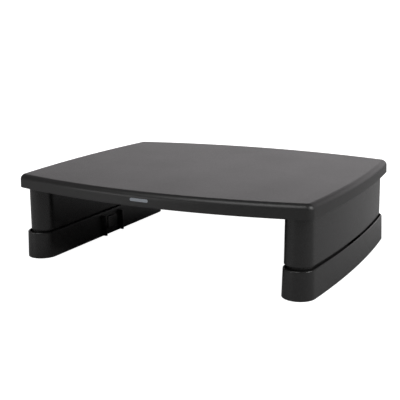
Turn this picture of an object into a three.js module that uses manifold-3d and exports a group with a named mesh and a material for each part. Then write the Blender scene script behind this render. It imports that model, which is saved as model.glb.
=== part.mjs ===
// Height-adjustable monitor stand: a bowed, hollow-moulded platform on two wide legs.
// Each leg is an upper leg screwed under the platform, whose neck plugs into a removable
// cup-shaped extension. A sprung release button in each extension holds its upper leg.
//
// Units are millimetres. X runs along the wide side, Y from front to back, Z up. The
// origin is the middle of the footprint, on the surface that the stand stands on.
// One side is described for the right leg (+X); the left one is its mirror image.

import * as THREE from "three";
import { mergeVertices } from "three/addons/utils/BufferGeometryUtils.js";
import Module from "manifold-3d";

const wasm = await Module();
wasm.setup();

// ---- Platform -------------------------------------------------------------------------
const WIDTH = 330;
const DEPTH = 279.4;
const HEIGHT = 87.9;
const RIM_HEIGHT = 13.6;
const FRONT_BOW = 20.9; // how far the middle of the front and back edges stands out
const SIDE_BOW = 6.5; // the same for the left and right edges
const CORNER_RADIUS = 9;
const TOP_EDGE_RADIUS = 5.7;
const RIM_DRAFT = 0.03;
const RIM_BOTTOM_EDGE = 0.5;
const RIM_WALL = 2.6; // at the bottom of the rim
const RIM_WALL_GAIN = 1; // how much thicker it is where it meets the deck
const DECK = 3;
const PLATE_RIB = { thickness: 1.8, height: 6, alongX: 27, alongY: 30, countX: 4, countY: 4 };
const RIM_BOTTOM = HEIGHT - RIM_HEIGHT;
const DECK_UNDERSIDE = HEIGHT - DECK;

// ---- Legs -----------------------------------------------------------------------------
// An outline of a leg: a straight inner wall, half-round ends and a bowed outer wall.
const UPPER = { innerX: 127.8, endRadius: 13.9, halfLength: 115.3, bow: 5.4 };
const LOWER = { innerX: 128, endRadius: 14.8, halfLength: 119.1, bow: 4.9 };
const NECK = { innerX: 130.75, endRadius: 12, halfLength: 114.2, bow: 4.9 };
const UPPER_DRAFT = 0.01; // narrowing, mm per mm upwards
const LOWER_DRAFT = 0.035; // widening, mm per mm downwards
const LEG_WALL = 2.4;
const NECK_WALL = 2.2;
const GAP = 0.3; // play between pieces that touch
const EDGE = 0.6; // small rounding of moulded edges
const LIP_TOP = 27.5; // top of the extension
const STEP = 29.5; // underside of the upper leg's outer wall, above the lip
const LIP = { thickness: 1.3, depth: 6 };
const CUP_FLOOR = { top: 15.7, thickness: 2.4 };
const NECK_BOTTOM = CUP_FLOOR.top + GAP;
const UPPER_TOP = DECK_UNDERSIDE - GAP;
const EXTENSION_BOTTOM = 0.4;
const EXTENSION_EDGE = 0.3; // rounding of the extension's bottom edge
const LEG_RIB = { thickness: 2, positions: [28, 56, 84], top: 74 };
const EXTENSION_RIB = { thickness: 2, positions: [45, 74, 94], bottom: 3 };
const HOUSING = { halfWidth: 16.6, wall: 2, bottom: 3, top: 26, play: 0.6 };

// ---- Fasteners and feet ---------------------------------------------------------------
const LEG_SCREW = { x: 143, positions: [42, 98], shank: 1.4, head: 3.2, headHeight: 2, length: 12 };
const SCREW_SOCKET = { mouth: 0.9, floor: 0.54, depth: 0.6 }; // radii in shanks, depth in heads
const SCREW_CROWN = { height: 0.45, radius: 0.75 }; // shares of the head's height and radius
const TOWER = { radius: 4.8, bore: 3.6, seat: 71, top: 73.6 };
const LEG_BOSS = { radius: 4, bottom: TOWER.top + GAP, holeTop: 83 };
const FOOT = { x: 143, y: 105.5, radius: 8.6, thickness: 2.6, edge: 0.4, post: 9, postBore: 6.5 };

// ---- Release button -------------------------------------------------------------------
const GUARD = { projection: 4.9, thickness: 2.4, top: 24 };
const BUTTON = {
  face: 126.4,
  halfWidth: 9.6,
  bottom: 6.4,
  top: 20.6,
  corner: 2,
  flangeFront: 131,
  flangeThickness: 1.8,
  flangeHalfWidth: 12,
  flangeBottom: 4.4,
  flangeTop: 23,
};
const FINGER = { front: 133.95, thickness: 1.6, halfWidth: 5, top: 41 };
const NOSE = { front: 129.6, bottom: 33.6, top: 37.6, halfWidth: 4.6, ramp: 1.6 };
const GROOVE_FLOOR = 129.2;
const SPRING = { z: 13.5, front: 133, back: 144.2, radius: 3.3, wire: 0.45, turns: 5 };
const BRACKET = {
  front: 144.5,
  thickness: 1.8,
  bottom: 5,
  top: 22,
  back: 154,
  halfWidth: 14.8,
  shelfTop: 13.7,
};
const SPRING_POST = { radius: 2.2, length: 4 };
const BRACKET_SCREW = { x: 150, y: 12.2, shank: 1.1, head: 2.2, headHeight: 1.6, length: 9 };
const BRACKET_BOSS = { radius: 3.6, bottom: BRACKET.shelfTop + GAP, top: 24, holeTop: 23 };
const BUTTON_PLAY = 0.4;

// ---- Resolution -----------------------------------------------------------------------
const EDGE_STEPS = 10; // along half a front edge
const SIDE_STEPS = 6;
const CORNER_STEPS = 6;
const FILLET_STEPS = 5;
const LEG_END_STEPS = 12;
const LEG_BOW_STEPS = 14;
const ROUND_SEGMENTS = 20;
const SCREW_SEGMENTS = 12;
const WIRE_SIDES = 6;
const STEPS_PER_TURN = 12;
const CURVE_SEGMENTS = 4; // along each rounded corner of an extruded outline
const WELD = 1e-4; // points closer than this are one point
const OVERCUT = 5; // how far a cutting solid runs past the surface that it opens

// ---- Solids and meshes ----------------------------------------------------------------
function toSolid(geometry) {
  const bare = geometry.index ? geometry.toNonIndexed() : geometry.clone();
  for (const name of Object.keys(bare.attributes)) {
    if (name !== "position") bare.deleteAttribute(name);
  }
  const merged = mergeVertices(bare, WELD);
  return new wasm.Manifold(
    new wasm.Mesh({
      numProp: 3,
      vertProperties: new Float32Array(merged.attributes.position.array),
      triVerts: new Uint32Array(merged.index.array),
    }),
  );
}

function toGeometry(solid) {
  const mesh = solid.getMesh();
  const geometry = new THREE.BufferGeometry();
  geometry.setAttribute("position", new THREE.BufferAttribute(mesh.vertProperties, 3));
  geometry.setIndex(new THREE.BufferAttribute(mesh.triVerts, 1));
  const flat = geometry.toNonIndexed();
  flat.computeVertexNormals();
  return flat;
}

function box(xs, ys, zs) {
  const size = [xs, ys, zs].map(([low, high]) => high - low);
  const middle = [xs, ys, zs].map(([low, high]) => (low + high) / 2);
  return toSolid(new THREE.BoxGeometry(...size).translate(...middle));
}

function uprightCylinder(x, y, radius, bottom, top) {
  const geometry = new THREE.CylinderGeometry(radius, radius, top - bottom, ROUND_SEGMENTS);
  return toSolid(geometry.rotateX(Math.PI / 2).translate(x, y, (bottom + top) / 2));
}

// A cylinder whose axis runs along X, at y = 0.
function crosswiseCylinder(z, radius, left, right) {
  const geometry = new THREE.CylinderGeometry(radius, radius, right - left, ROUND_SEGMENTS);
  return toSolid(geometry.rotateZ(Math.PI / 2).translate((left + right) / 2, 0, z));
}

// The closed solid between rings, lowest first. Each ring is {z, points}, its points
// counter-clockwise seen from above, and all rings have the same number of points.
function loft(rings) {
  const count = rings[0].points.length;
  const positions = rings.flatMap(({ z, points }) => points.flatMap((p) => [p.x, p.y, z]));
  const indices = [];
  for (let level = 0; level < rings.length - 1; level += 1) {
    for (let i = 0; i < count; i += 1) {
      const next = (i + 1) % count;
      const low = level * count;
      const high = low + count;
      indices.push(low + i, low + next, high + next);
      indices.push(low + i, high + next, high + i);
    }
  }
  const topStart = (rings.length - 1) * count;
  for (const [a, b, c] of THREE.ShapeUtils.triangulateShape(rings[0].points, [])) {
    indices.push(c, b, a);
  }
  for (const [a, b, c] of THREE.ShapeUtils.triangulateShape(rings.at(-1).points, [])) {
    indices.push(topStart + a, topStart + b, topStart + c);
  }
  const geometry = new THREE.BufferGeometry();
  geometry.setAttribute("position", new THREE.Float32BufferAttribute(positions, 3));
  geometry.setIndex(indices);
  return toSolid(geometry);
}

function join(solids) {
  return solids.reduce((whole, piece) => whole.add(piece));
}

// ---- Outlines -------------------------------------------------------------------------
function arc(centre, radius, from, to, steps) {
  const points = [];
  for (let i = 0; i < steps; i += 1) {
    const angle = from + ((to - from) * i) / steps;
    points.push(
      new THREE.Vector2(
        centre.x + radius * Math.cos(angle),
        centre.y + radius * Math.sin(angle),
      ),
    );
  }
  return points;
}

// The radius of an arc from its half chord and how far its middle stands out.
function bowRadius(halfChord, bow) {
  return (halfChord ** 2 + bow ** 2) / (2 * bow);
}

// The platform's outline, drawn in by inset: four shallow arcs and four round corners.
function platformOutline(inset) {
  const frontRadius = bowRadius(WIDTH / 2 - SIDE_BOW, FRONT_BOW);
  const sideRadius = bowRadius(DEPTH / 2 - FRONT_BOW, SIDE_BOW);
  const sideCentre = WIDTH / 2 - sideRadius;
  const backCentre = DEPTH / 2 - frontRadius;
  // A corner arc is tangent to a side arc and an end arc.
  const toSide = sideRadius - CORNER_RADIUS;
  const toBack = frontRadius - CORNER_RADIUS;
  const apart = Math.hypot(sideCentre, backCentre);
  const along = (toSide ** 2 - toBack ** 2 + apart ** 2) / (2 * apart);
  const across = Math.sqrt(toSide ** 2 - along ** 2);
  const unit = new THREE.Vector2(-sideCentre, backCentre).divideScalar(apart);
  const corner = new THREE.Vector2(
    sideCentre + along * unit.x - across * unit.y,
    along * unit.y + across * unit.x,
  );
  const sideAngle = Math.atan2(corner.y, corner.x - sideCentre);
  const backAngle = Math.atan2(corner.y - backCentre, corner.x);
  const origin = new THREE.Vector2(sideCentre, 0);
  const quarter = [
    ...arc(origin, sideRadius - inset, 0, sideAngle, SIDE_STEPS),
    ...arc(corner, CORNER_RADIUS - inset, sideAngle, backAngle, CORNER_STEPS),
    ...arc(
      new THREE.Vector2(0, backCentre),
      frontRadius - inset,
      backAngle,
      Math.PI / 2,
      EDGE_STEPS,
    ),
  ];
  const halfTurn = (points) => points.map((p) => new THREE.Vector2(-p.x, -p.y));
  const secondQuarter = [
    new THREE.Vector2(0, DEPTH / 2 - inset),
    ...quarter.slice(1).reverse().map((p) => new THREE.Vector2(-p.x, p.y)),
  ];
  return [...quarter, ...secondQuarter, ...halfTurn(quarter), ...halfTurn(secondQuarter)];
}

// A leg's outline, drawn in by inset, counter-clockwise from the foot of its inner wall.
function legOutline({ innerX, endRadius, halfLength, bow }, inset) {
  const endY = halfLength - endRadius;
  const endX = innerX + endRadius;
  const toEnd = bowRadius(endY, bow);
  const bowCentre = new THREE.Vector2(endX + bow - toEnd, 0);
  const bowAngle = Math.atan2(endY, endX - bowCentre.x);
  const radius = endRadius - inset;
  const frontEnd = new THREE.Vector2(endX, -endY);
  const backEnd = new THREE.Vector2(endX, endY);
  return [
    ...arc(frontEnd, radius, -Math.PI, -bowAngle, LEG_END_STEPS),
    ...arc(bowCentre, toEnd + radius, -bowAngle, bowAngle, LEG_BOW_STEPS),
    ...arc(backEnd, radius, bowAngle, Math.PI, LEG_END_STEPS),
    new THREE.Vector2(endX - radius, endY),
  ];
}

function upperRing(z, inset) {
  return { z, points: legOutline(UPPER, inset + UPPER_DRAFT * (z - STEP)) };
}

function lowerRing(z, inset) {
  return { z, points: legOutline(LOWER, inset - LOWER_DRAFT * (LIP_TOP - z)) };
}

function neckRing(z, inset) {
  return { z, points: legOutline(NECK, inset) };
}

// The inside of the cup: straight walls, with no draft.
function cupRing(z, inset) {
  return { z, points: legOutline(LOWER, inset) };
}

// ---- Platform -------------------------------------------------------------------------
function platform() {
  const draftAt = (z) => RIM_DRAFT * (z - RIM_BOTTOM);
  const ring = (z, inset) => ({ z, points: platformOutline(inset) });
  const edgeBottom = HEIGHT - TOP_EDGE_RADIUS;
  const rings = [
    ring(RIM_BOTTOM, RIM_BOTTOM_EDGE),
    ring(RIM_BOTTOM + RIM_BOTTOM_EDGE, draftAt(RIM_BOTTOM + RIM_BOTTOM_EDGE)),
  ];
  for (let i = 0; i <= FILLET_STEPS; i += 1) {
    const turn = ((Math.PI / 2) * i) / FILLET_STEPS;
    const inset = draftAt(edgeBottom) + TOP_EDGE_RADIUS * (1 - Math.cos(turn));
    rings.push(ring(edgeBottom + TOP_EDGE_RADIUS * Math.sin(turn), inset));
  }
  const hollow = loft([
    ring(RIM_BOTTOM - OVERCUT, RIM_WALL),
    ring(DECK_UNDERSIDE, RIM_WALL + RIM_WALL_GAIN),
  ]);
  return loft(rings).subtract(hollow.subtract(join(platformRibs()))).subtract(bossHoles());
}

function platformRibs() {
  const { thickness, height, alongX, alongY, countX, countY } = PLATE_RIB;
  const half = thickness / 2;
  const edge = alongY * countY + half;
  const zs = [DECK_UNDERSIDE - height, DECK_UNDERSIDE + OVERCUT];
  const solids = [];
  for (let i = -countX; i <= countX; i += 1) {
    solids.push(box([-edge, edge], [i * alongX - half, i * alongX + half], zs));
  }
  for (let i = -countY; i <= countY; i += 1) {
    solids.push(box([i * alongY - half, i * alongY + half], [-DEPTH, DEPTH], zs));
  }
  for (const [x, y] of bothSides(legScrewPlaces())) {
    solids.push(uprightCylinder(x, y, LEG_BOSS.radius, LEG_BOSS.bottom, HEIGHT));
  }
  return solids;
}

function bossHoles() {
  const radius = LEG_SCREW.shank + GAP;
  const hole = ([x, y]) => uprightCylinder(x, y, radius, RIM_BOTTOM - OVERCUT, LEG_BOSS.holeTop);
  return join(bothSides(legScrewPlaces()).map(hole));
}

function legScrewPlaces() {
  return LEG_SCREW.positions.flatMap((y) => [
    [LEG_SCREW.x, -y],
    [LEG_SCREW.x, y],
  ]);
}

function bothSides(places) {
  return [...places, ...places.map(([x, y]) => [-x, y])];
}

// ---- Upper leg ------------------------------------------------------------------------
// Open upwards. Its neck is parted in the middle, to straddle the button's housing.
function upperLeg() {
  const outside = loft([
    upperRing(STEP, EDGE),
    upperRing(STEP + EDGE, 0),
    upperRing(UPPER_TOP, 0),
  ]);
  const neck = loft([
    neckRing(NECK_BOTTOM, EDGE),
    neckRing(NECK_BOTTOM + EDGE, 0),
    neckRing(STEP + LEG_WALL, 0),
  ]);
  const neckHollow = loft([
    neckRing(NECK_BOTTOM + NECK_WALL, NECK_WALL),
    neckRing(STEP + LEG_WALL, NECK_WALL),
  ]);
  const wideHollow = loft([
    upperRing(STEP + LEG_WALL, LEG_WALL),
    upperRing(UPPER_TOP + OVERCUT, LEG_WALL),
  ]);
  const middleHollow = loft([
    upperRing(STEP - OVERCUT, LEG_WALL),
    upperRing(STEP + 2 * LEG_WALL, LEG_WALL),
  ]);
  const straddle = HOUSING.halfWidth + HOUSING.wall / 2 + HOUSING.play;
  const parting = slab(straddle, [NECK_BOTTOM - OVERCUT, STEP]);
  const partingWalls = slab(straddle + NECK_WALL, [NECK_BOTTOM - OVERCUT, STEP]);
  const inner = neckHollow.subtract(partingWalls).add(wideHollow);
  const towers = legScrewPlaces().map(([x, y]) =>
    uprightCylinder(x, y, TOWER.radius, NECK_BOTTOM, TOWER.top),
  );
  const stiffening = [...crossRibs(LEG_RIB, [NECK_BOTTOM, LEG_RIB.top]), ...towers];
  return outside
    .add(neck)
    .subtract(inner.subtract(join(stiffening)))
    .subtract(parting)
    .subtract(middleHollow.intersect(slab(straddle, [STEP - OVERCUT, HEIGHT])))
    .subtract(join(towerBores()))
    .subtract(noseGroove());
}

function towerBores() {
  const screwRadius = LEG_SCREW.shank + GAP;
  return legScrewPlaces().flatMap(([x, y]) => [
    uprightCylinder(x, y, TOWER.bore, NECK_BOTTOM - OVERCUT, TOWER.seat),
    uprightCylinder(x, y, screwRadius, TOWER.seat - OVERCUT, TOWER.top + OVERCUT),
  ]);
}

// The groove that the button's nose runs in, open at the underside of the outer wall.
function noseGroove() {
  const half = NOSE.halfWidth + BUTTON_PLAY;
  const depth = [GROOVE_FLOOR, UPPER.innerX + LEG_WALL + GAP];
  return box(depth, [-half, half], [STEP - OVERCUT, NOSE.top + BUTTON_PLAY]);
}

// A block across the whole leg, between -half and half in Y.
function slab(half, zs) {
  return box([UPPER.innerX - OVERCUT, WIDTH / 2], [-half, half], zs);
}

function crossRibs({ thickness, positions }, zs) {
  const signed = positions.flatMap((y) => [-y, y]);
  const xs = [UPPER.innerX - OVERCUT, WIDTH / 2];
  return signed.map((y) => box(xs, [y - thickness / 2, y + thickness / 2], zs));
}

// ---- Leg extension --------------------------------------------------------------------
function legExtension() {
  const shell = loft([
    lowerRing(EXTENSION_BOTTOM, EXTENSION_EDGE),
    lowerRing(EXTENSION_BOTTOM + EXTENSION_EDGE, 0),
    lowerRing(LIP_TOP - EDGE, 0),
    lowerRing(LIP_TOP, EDGE),
  ]);
  const cup = loft([
    cupRing(CUP_FLOOR.top, LEG_WALL),
    cupRing(LIP_TOP - LIP.depth - LEG_WALL / 2, LEG_WALL),
    cupRing(LIP_TOP - LIP.depth, LIP.thickness),
    cupRing(LIP_TOP + OVERCUT, LIP.thickness),
  ]);
  const underside = loft([
    lowerRing(-OVERCUT, LEG_WALL),
    lowerRing(CUP_FLOOR.top - CUP_FLOOR.thickness, LEG_WALL),
  ]);
  const ribs = crossRibs(EXTENSION_RIB, [EXTENSION_RIB.bottom, CUP_FLOOR.top]);
  const posts = footPlaces().map(([x, y]) =>
    uprightCylinder(x, y, FOOT.post, FOOT.thickness + GAP, CUP_FLOOR.top),
  );
  const { halfWidth, wall, bottom, top } = HOUSING;
  const housingWalls = crossRibs({ thickness: wall, positions: [halfWidth] }, [bottom, top]);
  const bosses = bracketScrewPlaces().map(([x, y]) =>
    uprightCylinder(x, y, BRACKET_BOSS.radius, BRACKET_BOSS.bottom, BRACKET_BOSS.top),
  );
  const housingWell = slab(halfWidth, [0, top]).intersect(
    loft([cupRing(0, LEG_WALL), cupRing(top, LEG_WALL)]),
  );
  const hollow = cup.add(underside).add(housingWell);
  return shell
    .subtract(hollow.subtract(join([...ribs, ...posts, ...housingWalls, ...bosses])))
    .add(guardRibs())
    .subtract(join(extensionHoles()));
}

function extensionHoles() {
  const footBores = footPlaces().map(([x, y]) =>
    uprightCylinder(x, y, FOOT.postBore, 0, CUP_FLOOR.top - CUP_FLOOR.thickness),
  );
  const { shank } = BRACKET_SCREW;
  const pilotHoles = bracketScrewPlaces().map(([x, y]) =>
    uprightCylinder(x, y, shank + GAP, BRACKET.bottom, BRACKET_BOSS.holeTop),
  );
  const buttonHalf = BUTTON.halfWidth + BUTTON_PLAY;
  const buttonWindow = box(
    [BUTTON.face - OVERCUT, BUTTON.flangeFront],
    [-buttonHalf, buttonHalf],
    [BUTTON.bottom - BUTTON_PLAY, BUTTON.top + BUTTON_PLAY],
  );
  return [...footBores, ...pilotHoles, buttonWindow];
}

// Two upright ribs that guard the button against knocks.
function guardRibs() {
  const outline = new THREE.Shape();
  const root = LOWER.innerX + LEG_WALL / 2;
  const tip = LOWER.innerX - GUARD.projection;
  outline.moveTo(root, EXTENSION_BOTTOM);
  outline.lineTo(root, GUARD.top);
  outline.lineTo(tip + GUARD.projection / 2, GUARD.top);
  outline.quadraticCurveTo(tip, GUARD.top, tip, GUARD.top - GUARD.projection / 2);
  outline.lineTo(tip, EXTENSION_BOTTOM);
  const ribs = [-1, 1].map((side) => {
    const middle = side * HOUSING.halfWidth;
    return sideways(outline, middle - GUARD.thickness / 2, middle + GUARD.thickness / 2);
  });
  return join(ribs);
}

// A solid with an outline in X and Z, from one y to another.
function sideways(outline, front, back) {
  const options = { depth: back - front, bevelEnabled: false, curveSegments: CURVE_SEGMENTS };
  const geometry = new THREE.ExtrudeGeometry(outline, options);
  return toSolid(geometry.rotateX(Math.PI / 2).translate(0, back, 0));
}

function footPlaces() {
  return [
    [FOOT.x, -FOOT.y],
    [FOOT.x, FOOT.y],
  ];
}

function bracketScrewPlaces() {
  return [
    [BRACKET_SCREW.x, -BRACKET_SCREW.y],
    [BRACKET_SCREW.x, BRACKET_SCREW.y],
  ];
}

// ---- Release button, its spring and the spring's bracket ------------------------------
function releaseButton() {
  const back = BUTTON.flangeFront + BUTTON.flangeThickness;
  const flange = box(
    [BUTTON.flangeFront, back],
    [-BUTTON.flangeHalfWidth, BUTTON.flangeHalfWidth],
    [BUTTON.flangeBottom, BUTTON.flangeTop],
  );
  const fingerBack = FINGER.front + FINGER.thickness;
  const fingerWidth = [-FINGER.halfWidth, FINGER.halfWidth];
  const step = box([BUTTON.flangeFront, fingerBack], fingerWidth, [BUTTON.top, BUTTON.flangeTop]);
  const finger = box([FINGER.front, fingerBack], fingerWidth, [BUTTON.top, FINGER.top]);
  const postRoot = back - BUTTON.flangeThickness / 2;
  const postTip = back + SPRING_POST.length;
  const post = crosswiseCylinder(SPRING.z, SPRING_POST.radius, postRoot, postTip);
  return join([buttonPad(), flange, step, finger, latchNose(), post]);
}

// The part that a finger presses: a block with round corners, its face towards -X.
function buttonPad() {
  const { corner, bottom, top, halfWidth } = BUTTON;
  const across = halfWidth - corner;
  const up = (top - bottom) / 2 - corner;
  const outline = new THREE.Shape();
  outline.absarc(across, up, corner, 0, Math.PI / 2);
  outline.absarc(-across, up, corner, Math.PI / 2, Math.PI);
  outline.absarc(-across, -up, corner, Math.PI, 1.5 * Math.PI);
  outline.absarc(across, -up, corner, 1.5 * Math.PI, 2 * Math.PI);
  const depth = BUTTON.flangeFront - BUTTON.face + BUTTON.flangeThickness / 2;
  const options = { depth, bevelEnabled: false, curveSegments: CURVE_SEGMENTS };
  const geometry = new THREE.ExtrudeGeometry(outline, options);
  geometry.rotateX(Math.PI / 2).rotateZ(Math.PI / 2);
  return toSolid(geometry.translate(BUTTON.face, 0, (bottom + top) / 2));
}

// The nose that holds the upper leg, with a ramp on its upper side.
function latchNose() {
  const root = FINGER.front + FINGER.thickness / 2;
  const outline = new THREE.Shape();
  outline.moveTo(NOSE.front, NOSE.bottom);
  outline.lineTo(root, NOSE.bottom);
  outline.lineTo(root, NOSE.top);
  outline.lineTo(NOSE.front + NOSE.ramp, NOSE.top);
  outline.lineTo(NOSE.front, NOSE.top - NOSE.ramp);
  return sideways(outline, -NOSE.halfWidth, NOSE.halfWidth);
}

class SpringCurve extends THREE.Curve {
  getPoint(t) {
    const angle = 2 * Math.PI * SPRING.turns * t;
    const reach = SPRING.back - SPRING.front - 2 * SPRING.wire;
    return new THREE.Vector3(
      SPRING.front + SPRING.wire + reach * t,
      SPRING.radius * Math.cos(angle),
      SPRING.z + SPRING.radius * Math.sin(angle),
    );
  }
}

function buttonSpring() {
  const section = new THREE.Shape();
  section.absarc(0, 0, SPRING.wire, 0, 2 * Math.PI);
  return toSolid(
    new THREE.ExtrudeGeometry(section, {
      steps: SPRING.turns * STEPS_PER_TURN,
      curveSegments: WIRE_SIDES / 2,
      extrudePath: new SpringCurve(),
    }),
  );
}

function springBracket() {
  const { front, thickness, bottom, top, back, halfWidth, shelfTop } = BRACKET;
  const profile = new THREE.Shape();
  profile.moveTo(front, bottom);
  profile.lineTo(front + thickness, bottom);
  profile.lineTo(front + thickness, shelfTop - thickness);
  profile.lineTo(back, shelfTop - thickness);
  profile.lineTo(back, shelfTop);
  profile.lineTo(front + thickness, shelfTop);
  profile.lineTo(front + thickness, top);
  profile.lineTo(front, top);
  const post = crosswiseCylinder(
    SPRING.z,
    SPRING_POST.radius,
    front - SPRING_POST.length / 2,
    front + thickness / 2,
  );
  const holes = bracketScrewPlaces().map(([x, y]) =>
    uprightCylinder(x, y, BRACKET_SCREW.shank + GAP, bottom, top),
  );
  return sideways(profile, -halfWidth, halfWidth).add(post).subtract(join(holes));
}

// ---- Screws and feet ------------------------------------------------------------------
// A pan-head screw, driven upwards, whose head bears on a face at height seat.
function screw({ shank, head, headHeight, length }, x, y, seat) {
  const socketFloor = -headHeight * (1 - SCREW_SOCKET.depth);
  const profile = [
    [0, socketFloor],
    [shank * SCREW_SOCKET.floor, socketFloor],
    [shank * SCREW_SOCKET.mouth, -headHeight],
    [head * SCREW_CROWN.radius, -headHeight],
    [head, -headHeight * (1 - SCREW_CROWN.height)],
    [head, 0],
    [shank, 0],
    [shank, length - shank],
    [0, length],
  ];
  const points = profile.map(([radius, z]) => new THREE.Vector2(radius, z));
  const geometry = new THREE.LatheGeometry(points, SCREW_SEGMENTS);
  return toSolid(geometry.rotateX(Math.PI / 2).translate(x, y, seat));
}

function rubberFoot(x, y) {
  const { radius, thickness, edge } = FOOT;
  const profile = [
    [0, 0],
    [radius - edge, 0],
    [radius, edge],
    [radius, thickness],
    [0, thickness],
  ];
  const points = profile.map(([r, z]) => new THREE.Vector2(r, z));
  const geometry = new THREE.LatheGeometry(points, ROUND_SEGMENTS);
  return toSolid(geometry.rotateX(Math.PI / 2).translate(x, y, 0));
}

// ---- Materials ------------------------------------------------------------------------
const plastic = new THREE.MeshStandardMaterial({ color: 0x1b1b1c, roughness: 0.62, metalness: 0 });
const smoothPlastic = new THREE.MeshStandardMaterial({ color: 0x161617, roughness: 0.45 });
const rubber = new THREE.MeshStandardMaterial({ color: 0x222222, roughness: 0.9 });
const steel = new THREE.MeshStandardMaterial({ color: 0x9a9a9c, roughness: 0.35, metalness: 1 });

// ---- Assembly -------------------------------------------------------------------------
function mesh(name, solid, material) {
  const made = new THREE.Mesh(toGeometry(solid), material.clone());
  made.name = name;
  return made;
}

function side(name, mirror) {
  const group = new THREE.Group();
  group.scale.x = mirror;
  group.add(mesh(`${name}_upper_leg`, upperLeg(), plastic));
  group.add(mesh(`${name}_leg_extension`, legExtension(), plastic));
  group.add(mesh(`${name}_release_button`, releaseButton(), smoothPlastic));
  group.add(mesh(`${name}_button_spring`, buttonSpring(), steel));
  group.add(mesh(`${name}_spring_bracket`, springBracket(), smoothPlastic));
  legScrewPlaces().forEach(([x, y], i) => {
    const seat = TOWER.seat - GAP;
    group.add(mesh(`${name}_leg_screw_${i + 1}`, screw(LEG_SCREW, x, y, seat), steel));
  });
  bracketScrewPlaces().forEach(([x, y], i) => {
    const seat = BRACKET.shelfTop - BRACKET.thickness - GAP;
    group.add(mesh(`${name}_bracket_screw_${i + 1}`, screw(BRACKET_SCREW, x, y, seat), steel));
  });
  footPlaces().forEach(([x, y], i) => {
    const place = i === 0 ? "front" : "back";
    group.add(mesh(`${name}_${place}_rubber_foot`, rubberFoot(x, y), rubber));
  });
  return group;
}

const stand = new THREE.Group();
stand.add(mesh("platform", platform(), plastic));
stand.add(side("right", 1));
stand.add(side("left", -1));

export default stand;
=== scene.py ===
"""Moulded black monitor stand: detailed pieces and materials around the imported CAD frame."""

import math

import bmesh
import bpy
from mathutils import Matrix, Vector


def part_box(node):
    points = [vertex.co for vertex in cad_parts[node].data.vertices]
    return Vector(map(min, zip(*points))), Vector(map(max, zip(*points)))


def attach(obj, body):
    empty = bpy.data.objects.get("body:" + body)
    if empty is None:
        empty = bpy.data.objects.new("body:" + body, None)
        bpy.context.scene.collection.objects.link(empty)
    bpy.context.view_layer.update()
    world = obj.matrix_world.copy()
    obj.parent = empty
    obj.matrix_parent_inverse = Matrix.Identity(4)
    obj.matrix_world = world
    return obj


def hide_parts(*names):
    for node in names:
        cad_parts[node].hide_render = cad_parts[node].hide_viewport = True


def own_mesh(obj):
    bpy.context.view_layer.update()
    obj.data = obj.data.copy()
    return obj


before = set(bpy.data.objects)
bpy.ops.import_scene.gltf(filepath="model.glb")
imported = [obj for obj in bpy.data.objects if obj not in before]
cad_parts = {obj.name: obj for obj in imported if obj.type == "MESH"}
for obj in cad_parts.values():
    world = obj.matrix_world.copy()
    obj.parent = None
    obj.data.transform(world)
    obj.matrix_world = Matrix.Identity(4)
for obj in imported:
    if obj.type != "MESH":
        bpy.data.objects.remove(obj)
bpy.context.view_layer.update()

MM = 0.001

# ---- Driving sizes, in millimetres, from the frame ---------------------------------------------


def node_box(name):
    """A CAD node's lowest and highest corner in millimetres."""
    low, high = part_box(name)
    return low / MM, high / MM


PLATE_LOW, PLATE_HIGH = node_box("platform")
LEG_LOW, LEG_HIGH = node_box("right_upper_leg")
EXTENSION_LOW, EXTENSION_HIGH = node_box("right_leg_extension")
BUTTON_LOW, BUTTON_HIGH = node_box("right_release_button")
FOOT_TOP = node_box("right_front_rubber_foot")[1].z
BRACKET_LOW, BRACKET_HIGH = node_box("right_spring_bracket")
SPRING_LOW, SPRING_HIGH = node_box("right_button_spring")

HALF_WIDTH = PLATE_HIGH.x
HALF_DEPTH = PLATE_HIGH.y
HEIGHT = PLATE_HIGH.z
RIM_BOTTOM = PLATE_LOW.z
UPPER_TOP = LEG_HIGH.z
NECK_BOTTOM = LEG_LOW.z
EXTENSION_BOTTOM = EXTENSION_LOW.z
LIP_TOP = EXTENSION_HIGH.z

# Platform, as the CAD has it.
FRONT_BOW = 20.9
SIDE_BOW = 6.5
CORNER_RADIUS = 9
TOP_EDGE_RADIUS = 5.7
RIM_DRAFT = 0.03
RIM_BOTTOM_EDGE = 0.5
RIM_WALL = 2.6
RIM_WALL_GAIN = 1  # how much thicker the rim's wall is where it meets the deck
DECK = 3
DECK_UNDERSIDE = HEIGHT - DECK
DECK_FILLET = 1.2  # inside, between the rim and the deck
PLATE_RIB = {"thickness": 1.8, "height": 6, "along_x": 27, "along_y": 30, "count": 4}

# Legs: inner wall, end radius, half length and bow of the outer wall.
UPPER = {"inner": 127.8, "radius": 13.9, "half": 115.3, "bow": 5.4}
LOWER = {"inner": 128, "radius": 14.8, "half": 119.1, "bow": 4.9}
NECK = {"inner": 130.75, "radius": 12, "half": 114.2, "bow": 4.9}
UPPER_DRAFT = 0.01
LOWER_DRAFT = 0.035
STEP = 29.5
LEG_WALL = 2.4
NECK_WALL = 2.2
LIP_THICKNESS = 1.3
LIP_DEPTH = 6
LIP_ROUND = 0.95  # of the lip's outer edge
CUP_FLOOR = 15.7
CUP_CEILING = 13.3
EDGE = 0.6
EXTENSION_EDGE = 0.3
LEG_RIBS = (28, 56, 84)
LEG_RIB_TOP = 74
EXTENSION_RIBS = (45, 74, 94)
EXTENSION_RIB_BOTTOM = 3
RIB_THICKNESS = 2
RIB_START = 1  # how far in from the leg's box a rib starts, before it is trimmed
HOUSING_Y = 16.6
HOUSING_WALL = 2
HOUSING_TOP = 26
HOUSING_PLAY = 0.6
LEG_X = 143
TOWER = {"radius": 4.8, "bore": 3.6, "seat": 71, "top": 73.6}
LEG_BOSS = {"radius": 4, "hole_depth": 8}
SCREW_HOLE = 1.7
LEG_SCREW_Y = (42, 98)
FOOT_POST = 9
FOOT_BORE = 6.5
FOOT_Y = 105.5
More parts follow.
